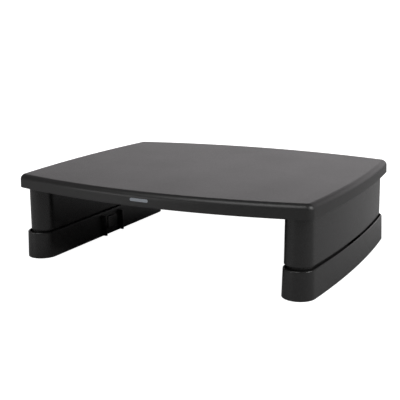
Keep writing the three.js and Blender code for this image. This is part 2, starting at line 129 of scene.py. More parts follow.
GUARD = {"projection": 4.9, "thickness": 2.4, "top": 24, "edge": 0.5}
BRACKET_SCREW = (150, 12.2)
BRACKET_BOSS = {"radius": 3.6, "bottom": 14, "top": 24, "hole": 1.4, "hole_top": 23}

# Release button, spring and bracket.
BUTTON = {"half": 9.6, "bottom": 6.4, "top": 20.6, "corner": 2, "play": 0.4, "edge": 0.5}
GRIP = {"count": 5, "pitch": 2, "width": 0.9, "depth": 0.45, "margin": 2.4}
FLANGE = {"front": 131, "back": 132.8, "top": 23, "edge": 0.25}
FINGER = {"front": 133.95, "back": 135.55, "half": 5, "edge": 0.3}
NOSE = {"front": 129.6, "root": 134.7, "bottom": 33.6, "top": 37.6, "half": 4.6, "ramp": 1.6}
GROOVE_FLOOR = 129.2
SPRING_Z = 13.5
POST = {"radius": 2.2, "length": 4.9, "round": 0.6}
WIRE = {"radius": 0.42, "coil": 3.3, "turns": 6.5, "closed": 1.0}
PLATE = {"front": 144.5, "thickness": 1.8, "shelf_top": 13.7, "edge": 0.3}
GUSSET = {"y": 6, "thickness": 1.6, "low": 8, "reach": 4}

# Foot: a disc with shallow rings in its underside.
FOOT_EDGE = 0.4
FOOT_GROOVE = {"first": 1.6, "pitch": 2.6, "width": 1.2, "depth": 0.35, "flank": 0.3, "count": 2}

# Screws: how many at each leg, shank radii, and shares of the head's or the shank's radius.
LEG_SCREWS = 4
LEG_SHANK = 1.4
BRACKET_SCREWS = 2
BRACKET_SHANK = 1.1
HEAD_HEIGHT = 0.62
HEAD_FLAT = 0.25
HEAD_CROWN = 0.45
RECESS = {"reach": 0.52, "width": 0.26, "depth": 0.28}
THREAD = {"core": 0.8, "root": 0.74, "pitch": 0.85, "foot": 0.6, "crest": 0.1}
THREAD_RUN_OUT = 12  # each end of the thread fades out over one part in 12 of its length
THREAD_LEAST = 0.05  # share of its height that is left at its ends

# The bar printed on the front rim.
BAR = {"half_length": 9.6, "half_height": 1.45, "middle": 80.6, "thickness": 0.04}

SOFT = 0.3  # rounding of small moulded edges
SKIN = LEG_WALL / 6  # how far inside a wall's outer face a rib stops
CUT = 5  # how far a cutting solid runs past the surface it opens
HOLD = 0.25  # how far past a rounding a ring of points keeps a flat wall's shading flat
AXIS = 0.05  # radius of the flat that closes a turned solid on its axis

# Resolution: points along each outline's arcs, and steps around each rounding.
OUTLINE_STEPS = {"side": 16, "corner": 14, "front": 28, "leg_end": 26, "leg_bow": 44}
TURN_STEPS = {"top_edge": 16, "deck": 6, "rim": 5, "step": 5, "neck": 4, "extension": 4}
LIP_STEPS = {"outside": 6, "inside": 4}
SMALL_STEPS = {"button": 4, "button_corner": 6, "post": 4, "head": 8, "foot": 3, "bar": 12}
BLOCK_SEGMENTS = 2
ROUND_PROFILE = 0.5  # the bevel profile that is a true arc
GUARD_SEGMENTS = 3
ROUND_SIDES = 48
SCREW_SIDES = 40
FOOT_SIDES = 72
WIRE_SIDES = 12
WIRE_STEPS = 30  # in each turn of the spring
THREAD_STEPS = 20  # in each turn of a thread
CRISP_ANGLE = 32  # degrees between faces, above which an edge isn't shaded smooth


# ---- Mesh building -----------------------------------------------------------------------------


def new_object(name, bm):
    """A Blender object, in metres, from a bmesh built in millimetres."""
    bmesh.ops.recalc_face_normals(bm, faces=bm.faces)
    bmesh.ops.transform(bm, matrix=Matrix.Scale(MM, 4), verts=bm.verts)
    mesh = bpy.data.meshes.new(name)
    bm.to_mesh(mesh)
    bm.free()
    made = bpy.data.objects.new(name, mesh)
    bpy.context.scene.collection.objects.link(made)
    return made


def loft(name, rings):
    """A solid skinned over rings of equally many (x, y, z) points, with flat ends."""
    bm = bmesh.new()
    loops = [[bm.verts.new(point) for point in ring] for ring in rings]
    count = len(loops[0])
    for low, high in zip(loops, loops[1:]):
        for i in range(count):
            j = (i + 1) % count
            bm.faces.new((low[i], low[j], high[j], high[i]))
    bm.faces.new(list(reversed(loops[0])))
    bm.faces.new(loops[-1])
    return new_object(name, bm)


def rounded_block(name, low, high, edge, segments=BLOCK_SEGMENTS):
    """A block from corner to corner. An edge of 0 leaves its edges sharp."""
    bm = bmesh.new()
    bmesh.ops.create_cube(bm, size=1)
    size = Vector(high) - Vector(low)
    middle = (Vector(high) + Vector(low)) / 2
    bmesh.ops.transform(bm, matrix=Matrix.Diagonal((*size, 1)), verts=bm.verts)
    bmesh.ops.translate(bm, vec=middle, verts=bm.verts)
    if edge:
        bmesh.ops.bevel(
            bm,
            geom=bm.edges[:],
            offset=edge,
            segments=segments,
            profile=ROUND_PROFILE,
            affect="EDGES",
        )
    return new_object(name, bm)


def lathe(name, profile, x, y, z, axis="Z", steps=ROUND_SIDES):
    """Turns (radius, height) points about an axis through (x, y, z)."""
    rings = []
    for radius, height in profile:
        ring = []
        for i in range(steps):
            angle = math.tau * i / steps
            a, b = radius * math.cos(angle), radius * math.sin(angle)
            local = (a, b, height) if axis == "Z" else (height, a, b)
            ring.append((x + local[0], y + local[1], z + local[2]))
        rings.append(ring)
    return loft(name, rings)


def cylinder(name, x, y, radius, low, high):
    return lathe(name, [(radius, low), (radius, high)], x, y, 0)


def combine(target, tools, operation):
    """Joins the tools to the target or cuts them from it, and removes them."""
    for tool in tools:
        modifier = target.modifiers.new("combine", "BOOLEAN")
        modifier.operation = operation
        modifier.solver = "MANIFOLD"
        modifier.object = tool
        apply_modifiers(target)
        remove(tool)
    return target


def apply_modifiers(target):
    graph = bpy.context.evaluated_depsgraph_get()
    mesh = bpy.data.meshes.new_from_object(target.evaluated_get(graph))
    old = target.data
    target.modifiers.clear()
    target.data = mesh
    bpy.data.meshes.remove(old)
    mesh.name = target.name


def remove(piece):
    mesh = piece.data
    bpy.data.objects.remove(piece)
    bpy.data.meshes.remove(mesh)


def mirrored(source, name):
    """A copy of a right-hand piece for the left-hand side."""
    bm = bmesh.new()
    bm.from_mesh(source.data)
    bmesh.ops.scale(bm, vec=(-1, 1, 1), verts=bm.verts)
    bmesh.ops.reverse_faces(bm, faces=bm.faces)
    mesh = bpy.data.meshes.new(name)
    bm.to_mesh(mesh)
    bm.free()
    made = bpy.data.objects.new(name, mesh)
    bpy.context.scene.collection.objects.link(made)
    return made


def smooth(piece):
    """Smooth shading, with edges sharper than CRISP_ANGLE kept crisp."""
    mesh = piece.data
    mesh.polygons.foreach_set("use_smooth", [True] * len(mesh.polygons))
    mesh.set_sharp_from_angle(angle=math.radians(CRISP_ANGLE))


# ---- Outlines ----------------------------------------------------------------------------------


def arc(centre, radius, start, end, steps):
    """Points on an arc, without its last one."""
    angles = [start + (end - start) * i / steps for i in range(steps)]
    return [
        (centre[0] + radius * math.cos(a), centre[1] + radius * math.sin(a)) for a in angles
    ]


def bow_radius(half_chord, bow):
    return (half_chord**2 + bow**2) / (2 * bow)


def platform_outline(inset):
    """The platform's bowed outline with round corners, drawn in by inset."""
    end_radius = bow_radius(HALF_WIDTH - SIDE_BOW, FRONT_BOW)
    side_radius = bow_radius(HALF_DEPTH - FRONT_BOW, SIDE_BOW)
    side_x = HALF_WIDTH - side_radius
    end_y = HALF_DEPTH - end_radius
    to_side = side_radius - CORNER_RADIUS
    to_end = end_radius - CORNER_RADIUS
    apart = math.hypot(side_x, end_y)
    along = (to_side**2 - to_end**2 + apart**2) / (2 * apart)
    across = math.sqrt(to_side**2 - along**2)
    unit = (-side_x / apart, end_y / apart)
    corner = (
        side_x + along * unit[0] - across * unit[1],
        along * unit[1] + across * unit[0],
    )
    side_angle = math.atan2(corner[1], corner[0] - side_x)
    end_angle = math.atan2(corner[1] - end_y, corner[0])
    quarter = [
        *arc((side_x, 0), side_radius - inset, 0, side_angle, OUTLINE_STEPS["side"]),
        *arc(corner, CORNER_RADIUS - inset, side_angle, end_angle, OUTLINE_STEPS["corner"]),
        *arc((0, end_y), end_radius - inset, end_angle, math.pi / 2, OUTLINE_STEPS["front"]),
    ]
    back = [(0, HALF_DEPTH - inset), *[(-x, y) for x, y in reversed(quarter[1:])]]
    half = quarter + back
    return half + [(-x, -y) for x, y in half]


def leg_outline(shape, inset):
    """A leg's outline: straight inner wall, half-round ends, bowed outer wall."""
    end_y = shape["half"] - shape["radius"]
    end_x = shape["inner"] + shape["radius"]
    reach = bow_radius(end_y, shape["bow"])
    centre_x = end_x + shape["bow"] - reach
    angle = math.atan2(end_y, end_x - centre_x)
    radius = shape["radius"] - inset
    return [
        *arc((end_x, -end_y), radius, -math.pi, -angle, OUTLINE_STEPS["leg_end"]),
        *arc((centre_x, 0), reach + radius, -angle, angle, OUTLINE_STEPS["leg_bow"]),
        *arc((end_x, end_y), radius, angle, math.pi, OUTLINE_STEPS["leg_end"]),
        (end_x - radius, end_y),
    ]


def at(z, points):
    return [(x, y, z) for x, y in points]


def plate_ring(z, inset):
    return at(z, platform_outline(inset))


def upper_ring(z, inset):
    return at(z, leg_outline(UPPER, inset + UPPER_DRAFT * (z - STEP)))


def lower_ring(z, inset):
    return at(z, leg_outline(LOWER, inset - LOWER_DRAFT * (LIP_TOP - z)))


def neck_ring(z, inset):
    return at(z, leg_outline(NECK, inset))


def cup_ring(z, inset):
    return at(z, leg_outline(LOWER, inset))


def quarter_turn(steps):
    """(sine, 1 - cosine) along a quarter turn, its start left out."""
    turns = [math.pi / 2 * i / steps for i in range(1, steps + 1)]
    return [(math.sin(t), 1 - math.cos(t)) for t in turns]


# ---- Platform ----------------------------------------------------------------------------------


def make_platform():
    """One closed shell: under the rim, up the outside, over the edge and across the top."""

    def draft(z):
        return RIM_DRAFT * (z - RIM_BOTTOM)

    edge_low = HEIGHT - TOP_EDGE_RADIUS
    corner = RIM_WALL + RIM_WALL_GAIN
    rings = [plate_ring(DECK_UNDERSIDE, corner + 2 * DECK_FILLET)]
    for rise, run in quarter_turn(TURN_STEPS["deck"]):
        z = DECK_UNDERSIDE - DECK_FILLET * run
        rings.append(plate_ring(z, corner + DECK_FILLET * (1 - rise)))
    rings.append(plate_ring(RIM_BOTTOM + SOFT, RIM_WALL))
    rings.append(plate_ring(RIM_BOTTOM, RIM_WALL - SOFT))
    rings.append(plate_ring(RIM_BOTTOM, RIM_BOTTOM_EDGE))
    for rise, run in quarter_turn(TURN_STEPS["rim"]):
        z = RIM_BOTTOM + RIM_BOTTOM_EDGE * run
        rings.append(plate_ring(z, RIM_BOTTOM_EDGE * (1 - rise) + draft(z)))
    for z in (RIM_BOTTOM + RIM_BOTTOM_EDGE + HOLD, edge_low - HOLD, edge_low):
        rings.append(plate_ring(z, draft(z)))
    for rise, run in quarter_turn(TURN_STEPS["top_edge"]):
        z = edge_low + TOP_EDGE_RADIUS * rise
        rings.append(plate_ring(z, draft(edge_low) + TOP_EDGE_RADIUS * run))
    rings.append(plate_ring(HEIGHT, draft(edge_low) + TOP_EDGE_RADIUS + SOFT))
    body = loft("platform_moulding", rings)
    return combine(body, platform_ribs() + platform_bosses(), "UNION")


def platform_ribs():
    half = PLATE_RIB["thickness"] / 2
    low = DECK_UNDERSIDE - PLATE_RIB["height"]
    high = DECK_UNDERSIDE + DECK / 2
    count = PLATE_RIB["count"]
    reach = PLATE_RIB["along_y"] * count + half
    end_radius = bow_radius(HALF_WIDTH - SIDE_BOW, FRONT_BOW)
    ribs = []
    for i in range(-count, count + 1):
        y = i * PLATE_RIB["along_x"]
        ribs.append(rounded_block("rib", (-reach, y - half, low), (reach, y + half, high), SOFT))
        x = i * PLATE_RIB["along_y"]
        end = HALF_DEPTH - end_radius + math.sqrt(end_radius**2 - x**2) - RIM_WALL - SOFT
        ribs.append(rounded_block("rib", (x - half, -end, low), (x + half, end, high), SOFT))
    return ribs


def platform_bosses():
    low = TOWER["top"] + SOFT
    hole_top = low + LEG_BOSS["hole_depth"]
    profile = [
        (AXIS, hole_top),
        (SCREW_HOLE, hole_top),
        (SCREW_HOLE, low + SOFT),
        (SCREW_HOLE + SOFT, low),
        (LEG_BOSS["radius"] - SOFT, low),
        (LEG_BOSS["radius"], low + SOFT),
        (LEG_BOSS["radius"], DECK_UNDERSIDE + DECK / 2),
        (AXIS, DECK_UNDERSIDE + DECK / 2),
    ]
    return [
        lathe("boss", profile, side * x, y, 0) for x, y in leg_screw_places() for side in (1, -1)
    ]


def leg_screw_places():
    return [(LEG_X, side * y) for y in LEG_SCREW_Y for side in (-1, 1)]


# ---- Upper leg ---------------------------------------------------------------------------------


def slab(name, half, low, high):
    """A block across the whole leg, between -half and half in Y."""
    return rounded_block(name, (LEG_LOW.x - CUT, -half, low), (HALF_WIDTH, half, high), 0)


def cross_ribs(places, low, high, thickness=RIB_THICKNESS):
    """Corners of upright ribs across a leg, at each place in front of and behind its middle."""
    ribs = []
    for y in places:
        for side in (-1, 1):
            middle = side * y
            corner = (LEG_LOW.x + RIB_START, middle - thickness / 2, low)
            other = (LEG_HIGH.x - RIB_START, middle + thickness / 2, high)
            ribs.append((corner, other))
    return ribs


def make_upper_leg():
    """A bucket, open upwards, with a neck that is parted in the middle."""
    rings = [
        neck_ring(NECK_BOTTOM + NECK_WALL, NECK_WALL),
        neck_ring(STEP + LEG_WALL - SOFT, NECK_WALL),
        upper_ring(STEP + LEG_WALL + SOFT, LEG_WALL),
        upper_ring(UPPER_TOP, LEG_WALL),
        upper_ring(UPPER_TOP, 0),
        upper_ring(STEP + EDGE + HOLD, 0),
        upper_ring(STEP + EDGE, 0),
    ]
    for rise, run in quarter_turn(TURN_STEPS["step"]):
        rings.append(upper_ring(STEP + EDGE * (1 - rise), EDGE * run))
    rings.append(neck_ring(STEP, 0))
    rings.append(neck_ring(NECK_BOTTOM + EDGE, 0))
    for rise, run in quarter_turn(TURN_STEPS["neck"]):
        rings.append(neck_ring(NECK_BOTTOM + EDGE * (1 - rise), EDGE * run))
    body = loft("upper_leg", rings)
    combine(body, upper_leg_stiffening(), "UNION")
    return combine(body, upper_leg_cuts(), "DIFFERENCE")


def straddle():
    """How far from the middle the neck is parted, to clear the button's housing."""
    return HOUSING_Y + HOUSING_WALL / 2 + HOUSING_PLAY


def upper_leg_stiffening():
    """Ribs, the walls beside the parting and the screws' towers, trimmed to the leg."""
    foot = NECK_BOTTOM + EDGE
    walls = cross_ribs((straddle() + NECK_WALL / 2,), foot, STEP + SOFT, NECK_WALL)
    blocks = cross_ribs(LEG_RIBS, foot, LEG_RIB_TOP) + walls
    pieces = [rounded_block("rib", low, high, 0) for low, high in blocks]
    for x, y in leg_screw_places():
        pieces.append(cylinder("tower", x, y, TOWER["radius"], foot, TOWER["top"]))
    return trimmed(pieces, upper_leg_hull())


def trimmed(pieces, hull):
    """The pieces, cut off at the hull, which is used up."""
    for piece in pieces:
        combine(piece, [copy_of(hull)], "INTERSECT")
    remove(hull)
    return pieces


def upper_leg_cuts():
    """The parting of the neck, the screws' bores and the groove for the button's nose."""
    low = NECK_BOTTOM - CUT
    half = straddle()
    middle = loft("middle", [upper_ring(STEP - CUT, LEG_WALL), upper_ring(STEP + CUT, LEG_WALL)])
    cuts = [slab("parting", half, low, STEP)]
    cuts.append(combine(middle, [slab("keep", half, 0, HEIGHT)], "INTERSECT"))
    for x, y in leg_screw_places():
        cuts.append(cylinder("bore", x, y, TOWER["bore"], low, TOWER["seat"]))
        cuts.append(cylinder("hole", x, y, SCREW_HOLE, TOWER["seat"] - CUT, TOWER["top"] + CUT))
    side = NOSE["half"] + BUTTON["play"]
    groove_back = UPPER["inner"] + LEG_WALL + SOFT
    groove_top = NOSE["top"] + BUTTON["play"]
    low, high = (GROOVE_FLOOR, -side, STEP - CUT), (groove_back, side, groove_top)
    cuts.append(rounded_block("groove", low, high, 0))
    return cuts


def upper_leg_hull():
    """The leg's full outer shape, a little inside its skin, which trims the ribs."""
    return loft(
        "hull",
        [
            neck_ring(NECK_BOTTOM + SKIN, SKIN),
            neck_ring(STEP + SKIN, SKIN),
            upper_ring(STEP + 2 * SKIN, SKIN),
            upper_ring(UPPER_TOP, SKIN),
        ],
    )


def copy_of(piece):
    made = bpy.data.objects.new(piece.name, piece.data.copy())
    bpy.context.scene.collection.objects.link(made)
    return made


# ---- Leg extension -----------------------------------------------------------------------------


def make_extension():
    """A cup above a floor, hollow below it, open top and bottom."""
    shoulder = LIP_TOP - LIP_DEPTH
    rings = [
        lower_ring(CUP_CEILING, LEG_WALL),
        lower_ring(EXTENSION_BOTTOM + SOFT, LEG_WALL),
        lower_ring(EXTENSION_BOTTOM, LEG_WALL - SOFT),
        lower_ring(EXTENSION_BOTTOM, EXTENSION_EDGE),
    ]
    for rise, run in quarter_turn(TURN_STEPS["extension"]):
        z = EXTENSION_BOTTOM + EXTENSION_EDGE * run
        rings.append(lower_ring(z, EXTENSION_EDGE * (1 - rise)))
    inner = LIP_THICKNESS - LIP_ROUND
    rings.append(lower_ring(EXTENSION_BOTTOM + EXTENSION_EDGE + HOLD, 0))
    rings.append(lower_ring(LIP_TOP - LIP_ROUND - HOLD, 0))
    rings.append(lower_ring(LIP_TOP - LIP_ROUND, 0))
    for rise, run in quarter_turn(LIP_STEPS["outside"]):
        rings.append(cup_ring(LIP_TOP - LIP_ROUND * (1 - rise), LIP_ROUND * run))
    for rise, run in quarter_turn(LIP_STEPS["inside"]):
        rings.append(cup_ring(LIP_TOP - inner * run, LIP_ROUND + inner * rise))
    rings.append(cup_ring(shoulder, LIP_THICKNESS))
    rings.append(cup_ring(shoulder - LEG_WALL / 2, LEG_WALL))
    rings.append(cup_ring(CUP_FLOOR, LEG_WALL))
    body = loft("leg_extension", rings)
    well = loft("well", [cup_ring(0, LEG_WALL), cup_ring(HOUSING_TOP, LEG_WALL)])
    keep = slab("keep", HOUSING_Y, -CUT, HOUSING_TOP + CUT)
    combine(body, [combine(well, [keep], "INTERSECT")], "DIFFERENCE")
    combine(body, extension_stiffening() + guard_ribs(), "UNION")
    return combine(body, extension_cuts(), "DIFFERENCE")


def extension_stiffening():
    """Ribs, housing walls, the feet's posts and the bracket's bosses, trimmed to the shell."""
    low = EXTENSION_RIB_BOTTOM
    floor = (CUP_FLOOR + CUP_CEILING) / 2
    blocks = cross_ribs(EXTENSION_RIBS, low, floor)
    blocks += cross_ribs((HOUSING_Y,), low, HOUSING_TOP, HOUSING_WALL)
    pieces = [rounded_block("rib", start, end, 0) for start, end in blocks]
    for x, y in foot_places():
        pieces.append(cylinder("post", x, y, FOOT_POST, FOOT_TOP + SOFT, floor))
    for x, y in bracket_screw_places():
        low, high = BRACKET_BOSS["bottom"], BRACKET_BOSS["top"]
        pieces.append(cylinder("boss", x, y, BRACKET_BOSS["radius"], low, high))
    ends = [lower_ring(EXTENSION_BOTTOM, SKIN), lower_ring(HOUSING_TOP, SKIN)]
    return trimmed(pieces, loft("hull", ends))


def extension_cuts():
    """The feet's bores, the bracket screws' pilot holes and the button's window."""
    cuts = [cylinder("bore", x, y, FOOT_BORE, 0, CUP_CEILING) for x, y in foot_places()]
    for x, y in bracket_screw_places():
        low = BRACKET_BOSS["bottom"] - CUT
        cuts.append(cylinder("hole", x, y, BRACKET_BOSS["hole"], low, BRACKET_BOSS["hole_top"]))
    outline = button_outline(BUTTON["play"])
    cuts.append(crosswise("window", outline, BUTTON_LOW.x - CUT, FLANGE["front"]))
    return cuts


def guard_ribs():
    """Two upright ribs that guard the button against knocks."""
    ribs = []
    for side in (-1, 1):
        front = side * HOUSING_Y - GUARD["thickness"] / 2
        low = (LOWER["inner"] - GUARD["projection"], front, EXTENSION_BOTTOM)
        high = (LOWER["inner"] + LEG_WALL / 2, front + GUARD["thickness"], GUARD["top"])
        ribs.append(rounded_block("guard", low, high, GUARD["edge"], GUARD_SEGMENTS))
    return ribs


def foot_places():
    return [(LEG_X, -FOOT_Y), (LEG_X, FOOT_Y)]


def bracket_screw_places():
    x, y = BRACKET_SCREW
    return [(x, -y), (x, y)]


# ---- Release button ----------------------------------------------------------------------------


def button_outline(grow):
    """The button's rounded outline in Y and Z."""
    corner = BUTTON["corner"] + grow
    half = BUTTON["half"] - BUTTON["corner"]
    low = BUTTON["bottom"] + BUTTON["corner"]
    high = BUTTON["top"] - BUTTON["corner"]
    places = [(half, high), (-half, high), (-half, low), (half, low)]
    points = []
    for i, place in enumerate(places):
        start = math.pi / 2 * i
        points += arc(place, corner, start, start + math.pi / 2, SMALL_STEPS["button_corner"])
        points.append((place[0] - corner * math.sin(start), place[1] + corner * math.cos(start)))
    return points


def crosswise(name, outline, left, right):
    """A solid with an outline in Y and Z, from one x to another."""
    return loft(name, [[(x, y, z) for y, z in outline] for x in (left, right)])


def make_button():
    """A pad with grip grooves, on a flange with the latch finger and the spring's post."""
    face = BUTTON_LOW.x
    edge = BUTTON["edge"]
    turn = quarter_turn(SMALL_STEPS["button"])
    steps = [(FLANGE["front"] + SOFT, 0.0), (face + edge, 0.0)]
    steps += [(face + edge * (1 - rise), -edge * run) for rise, run in turn]
    pad = loft("button", [[(x, y, z) for y, z in button_outline(grow)] for x, grow in steps])
    combine(pad, grip_grooves(face), "DIFFERENCE")
    flange = rounded_block(
        "flange",
        (FLANGE["front"], BUTTON_LOW.y, BUTTON_LOW.z),
        (FLANGE["back"], BUTTON_HIGH.y, FLANGE["top"]),
        FLANGE["edge"],
    )
    half, back = FINGER["half"], FINGER["back"]
    foot = BUTTON["top"]
    step = rounded_block(
        "step", (FLANGE["front"] + SOFT, -half, foot), (back, half, FLANGE["top"]), FLANGE["edge"]
    )
    finger = rounded_block(
        "finger", (FINGER["front"], -half, foot), (back, half, BUTTON_HIGH.z), FINGER["edge"]
    )
    post = spring_post(FLANGE["back"] - SOFT, POST["length"], 1)
    return combine(pad, [flange, step, finger, latch_nose(), post], "UNION")


def grip_grooves(face):
    """Shallow level grooves across the pad's face."""
    half = BUTTON["half"] - GRIP["margin"]
    middle = (BUTTON["bottom"] + BUTTON["top"]) / 2
    across = GRIP["width"] / 2
    grooves = []
    for i in range(GRIP["count"]):
        z = middle + GRIP["pitch"] * (i - (GRIP["count"] - 1) / 2)
        low = (face - CUT, -half, z - across)
        high = (face + GRIP["depth"], half, z + across)
        grooves.append(rounded_block("groove", low, high, GRIP["depth"] / 2))
    return grooves


def spring_post(x, length, way):
    """A round post along X from x, its free end rounded. Way is 1 to the right, -1 to the left."""
    radius, soft = POST["radius"], POST["round"]
    profile = [(radius, 0), (radius, way * (length - soft))]
    for rise, run in quarter_turn(SMALL_STEPS["post"]):
        profile.append((radius - soft * run, way * (length - soft * (1 - rise))))
    if way < 0:
        profile.reverse()
    return lathe("post", profile, x, 0, SPRING_Z, axis="X")


def latch_nose():
    """The nose that holds the upper leg, with a ramp on its upper side."""
    section = [
        (NOSE["front"], NOSE["bottom"]),
        (NOSE["root"], NOSE["bottom"]),
        (NOSE["root"], NOSE["top"]),
        (NOSE["front"] + NOSE["ramp"], NOSE["top"]),
        (NOSE["front"], NOSE["top"] - NOSE["ramp"]),
    ]
    return loft("nose", [[(x, y, z) for x, z in section] for y in (-NOSE["half"], NOSE["half"])])


# ---- Spring, bracket, screws and feet ----------------------------------------------------------


def make_spring():
    """A compression spring of round wire, with closed ends."""
    wire, closed, turns = WIRE["radius"], WIRE["closed"], WIRE["turns"]
    steps = int(WIRE_STEPS * turns)
    left = SPRING_LOW.x + wire
    right = SPRING_HIGH.x - wire
    open_turns = turns - 2 * closed
    pitch = (right - left - 2 * closed * 2 * wire) / open_turns
    rings = []
    for i in range(steps + 1):
        turn = turns * i / steps
        tight = min(turn, closed) + max(0.0, turn - (turns - closed))
        wide = min(max(turn - closed, 0.0), open_turns)
        x = left + tight * 2 * wire + wide * pitch
        angle = math.tau * turn
        radial = Vector((0, math.cos(angle), math.sin(angle)))
        centre = Vector((x, 0, SPRING_Z)) + WIRE["coil"] * radial
        ring = []
        for k in range(WIRE_SIDES):
            around = math.tau * k / WIRE_SIDES
            offset = math.cos(around) * radial + math.sin(around) * Vector((1, 0, 0))
            ring.append(centre + wire * offset)
        rings.append(ring)
    return loft("spring", rings)


def make_bracket():
    """An angle: an upright plate, a shelf that is screwed up, a spring post and two gussets."""
    low, high = BRACKET_LOW, BRACKET_HIGH
    front, thickness, edge = PLATE["front"], PLATE["thickness"], PLATE["edge"]
    shelf_low = PLATE["shelf_top"] - thickness
    inside = front + thickness / 2
    plate = rounded_block(
        "bracket", (front, low.y, low.z), (front + thickness, high.y, high.z), edge
    )
    shelf = rounded_block(
        "shelf", (inside, low.y, shelf_low), (high.x, high.y, PLATE["shelf_top"]), edge
    )
    post = spring_post(inside, inside - low.x, -1)
    pieces = [shelf, post]
    half = GUSSET["thickness"] / 2
    for y in (-GUSSET["y"], GUSSET["y"]):
        start = (inside, y - half, GUSSET["low"])
        end = (inside + GUSSET["reach"], y + half, shelf_low + edge)
        pieces.append(rounded_block("gusset", start, end, edge))
    combine(plate, pieces, "UNION")
    holes = [
        cylinder("hole", x, y, BRACKET_BOSS["hole"], low.z, high.z)
        for x, y in bracket_screw_places()
    ]
    return combine(plate, holes, "DIFFERENCE")


def make_screw(x, y, low, high, head, shank):
    """A pan-head screw driven upwards, with a thread and a cross recess."""
    head_height = HEAD_HEIGHT * head
    length = high - low - head_height
    core = THREAD["core"] * shank
    profile = [(AXIS, -head_height)]
    for rise, run in quarter_turn(SMALL_STEPS["head"]):
        across = head * (1 - HEAD_FLAT * (1 - rise))
        profile.append((across, -head_height * (1 - run * HEAD_CROWN)))
    profile += [(head, 0), (core, 0), (core, length - shank), (AXIS, length)]
    body = lathe("screw", profile, x, y, low + head_height, steps=SCREW_SIDES)
    combine(body, cross_recess(x, y, low, head), "DIFFERENCE")
    start = low + head_height + THREAD["pitch"] * shank
    return combine(body, [thread(x, y, start, high - shank, shank)], "UNION")


def cross_recess(x, y, low, head):
    long, short = RECESS["reach"] * head, RECESS["width"] * head / 2
    slots = []
    for across, along in ((long, short), (short, long)):
        start = (x - across, y - along, low - CUT)
        end = (x + across, y + along, low + RECESS["depth"] * head)
        slots.append(rounded_block("slot", start, end, 0))
    return slots


def thread(x, y, low, high, radius):
    """A ridge wound around a screw's core, running out at both ends."""
    pitch = THREAD["pitch"] * radius
    turns = (high - low) / pitch
    steps = int(turns * THREAD_STEPS)
    root = THREAD["root"] * radius
    half_foot, half_crest = THREAD["foot"] * pitch / 2, THREAD["crest"] * pitch / 2
    rings = []
    for i in range(steps + 1):
        share = i / steps
        angle = math.tau * turns * share
        z = low + (high - low) * share
        full = min(1.0, share * THREAD_RUN_OUT, (1 - share) * THREAD_RUN_OUT)
        crest = root + (radius - root) * max(THREAD_LEAST, full)
        section = [(root, -half_foot), (crest, -half_crest), (crest, half_crest), (root, half_foot)]
        rings.append(
            [(x + r * math.cos(angle), y + r * math.sin(angle), z + h) for r, h in section]
        )
    return loft("thread", rings)


def make_foot(node):
    """A rubber disc, with ring grooves in the face that stands on the desk."""
    low, high = node_box(node)
    middle = (low + high) / 2
    radius = (high.x - low.x) / 2
    profile = [(AXIS, high.z), (radius - FOOT_EDGE, high.z), (radius, high.z - FOOT_EDGE)]
    profile.append((radius, FOOT_EDGE))
    turn = quarter_turn(SMALL_STEPS["foot"])
    profile += [(radius - FOOT_EDGE * run, FOOT_EDGE * (1 - rise)) for rise, run in turn]
    for i in range(FOOT_GROOVE["count"]):
        start = radius - FOOT_GROOVE["first"] - FOOT_GROOVE["pitch"] * i
        end = start - FOOT_GROOVE["width"]
        flank, depth = FOOT_GROOVE["flank"], FOOT_GROOVE["depth"]
        profile += [(start, 0), (start - flank, depth), (end + flank, depth), (end, 0)]
    profile.append((AXIS, 0))
    return lathe("foot", profile, middle.x, middle.y, 0, steps=FOOT_SIDES)


def make_print():
    """The plain pill-shaped bar printed in the middle of the front rim."""
    half_height = BAR["half_height"]
    straight = BAR["half_length"] - half_height
    steps = SMALL_STEPS["bar"]
    outline = []
    for side, start in ((1, -math.pi / 2), (-1, math.pi / 2)):
        outline += arc((side * straight, 0), half_height, start, start + math.pi, steps)
        for i in range(steps):
            outline.append((side * straight * (1 - 2 * i / steps), side * half_height))
    end_radius = bow_radius(HALF_WIDTH - SIDE_BOW, FRONT_BOW)

    def on_rim(x, z, stand_off):
        inset = RIM_DRAFT * (z - RIM_BOTTOM) - stand_off
        y = end_radius - HALF_DEPTH - math.sqrt((end_radius - inset) ** 2 - x**2)
        return (x, y, z)

    rings = []
    for stand_off in (-BAR["thickness"], BAR["thickness"]):
        rings.append([on_rim(x, BAR["middle"] + z, stand_off) for x, z in outline])
    return loft("rim_print_bar", rings)


# ---- Materials ---------------------------------------------------------------------------------

# Feature sizes and depths are in metres. Levels are linear reflectances.
PLATFORM_PLASTIC = {"level": 0.013, "roughness": 0.40, "grain": 0.0006, "grain_depth": 0.00003}
LEG_PLASTIC = {"level": 0.012, "roughness": 0.28, "grain": 0.0005, "grain_depth": 0.00002}
BUTTON_PLASTIC = {"level": 0.014, "roughness": 0.38, "grain": 0.0004, "grain_depth": 0.00001}
BRACKET_PLASTIC = {"level": 0.03, "roughness": 0.5, "grain": 0.0005, "grain_depth": 0.00002}
SPRING_STEEL = {"level": 0.62, "roughness": 0.28}
SCREW_STEEL = {"level": 0.58, "roughness": 0.34}

# Shared by all the plastics: tones as shares of the level, and changes of roughness.
PLASTIC_TINT = (1.02, 1.0, 0.99)
PLASTIC_SPECULAR = 0.5
PLASTIC_TONES = {"dark": 0.82, "light": 1.22, "worn": 2.6}
FLOW = {"size": 0.06, "gloss": 0.012, "depth": 0.0004, "strength": 0.04}
MOTTLE_SIZE = 0.004
MOTTLE_SHARE = 0.5  # of the tone; the grain makes up the rest
GRAIN_GLOSS = 0.05
GRAIN_SHARE = 0.7  # of the relief; specks make up the rest
SPECK_SHARE = 0.45  # of the grain's size
WEAR = {"width": 0.0006, "share": 0.35, "gloss": 0.08}
WEAR_PATCHES = {"noise": (0.4, 0.62), "share": (0.15, 1.0)}

